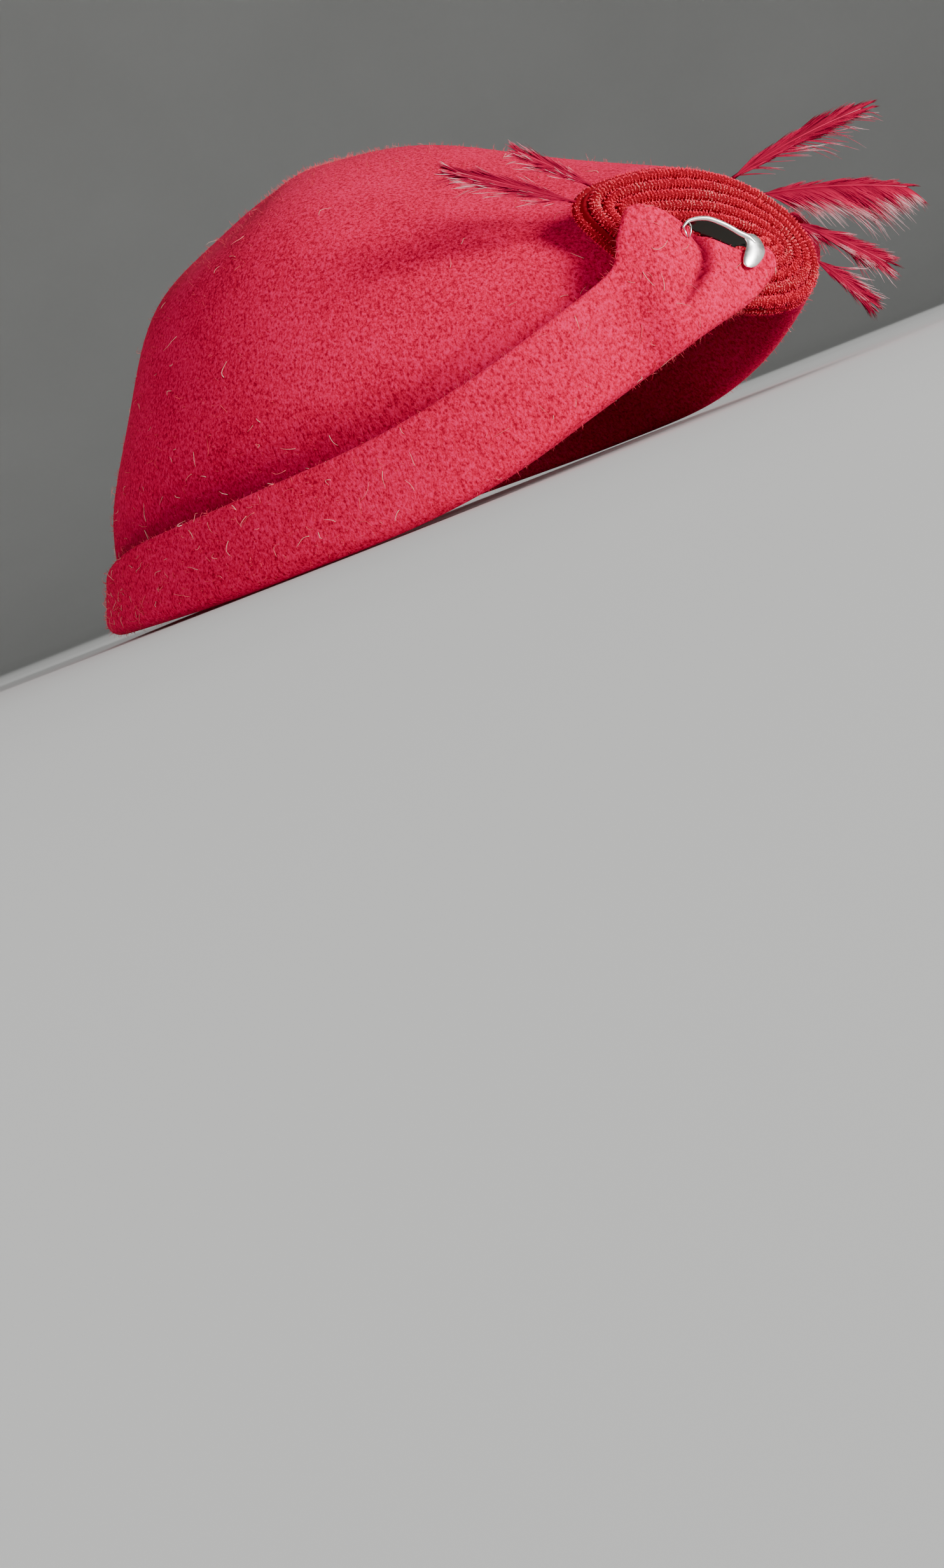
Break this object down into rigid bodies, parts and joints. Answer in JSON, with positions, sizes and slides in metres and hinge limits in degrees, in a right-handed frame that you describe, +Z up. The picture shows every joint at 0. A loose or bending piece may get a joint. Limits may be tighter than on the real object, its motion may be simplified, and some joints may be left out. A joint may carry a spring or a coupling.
{
  "type": "feathered felt hat",
  "caption": "Close-fitting felt hat with a turned-up brim, an oval wound-cord cockade at the front, a metal clip and dyed feathers.",
  "frame": {"origin": "on the surface that the brim rests on, under the middle of the whole hat's box", "axes": "+Z up, -Y the way the wearer faces, +X the wearer's left"},
  "size_m": [0.183, 0.2348, 0.095],
  "materials": {
    "felt": "brushed fur felt, matt with a soft nap",
    "velvet": "velvet chenille cord with a soft sheen",
    "metal": "polished bright metal",
    "feather": "dyed feather barbs, slightly translucent"
  },
  "bodies": {
    "root": {"felt_body": "felt", "cord_cockade": "velvet", "metal_clip": "metal", "feather_1": "feather", "feather_2": "feather", "feather_3": "feather", "feather_4": "feather", "feather_5": "feather", "feather_6": "feather"}
  },
  "joints": []
}
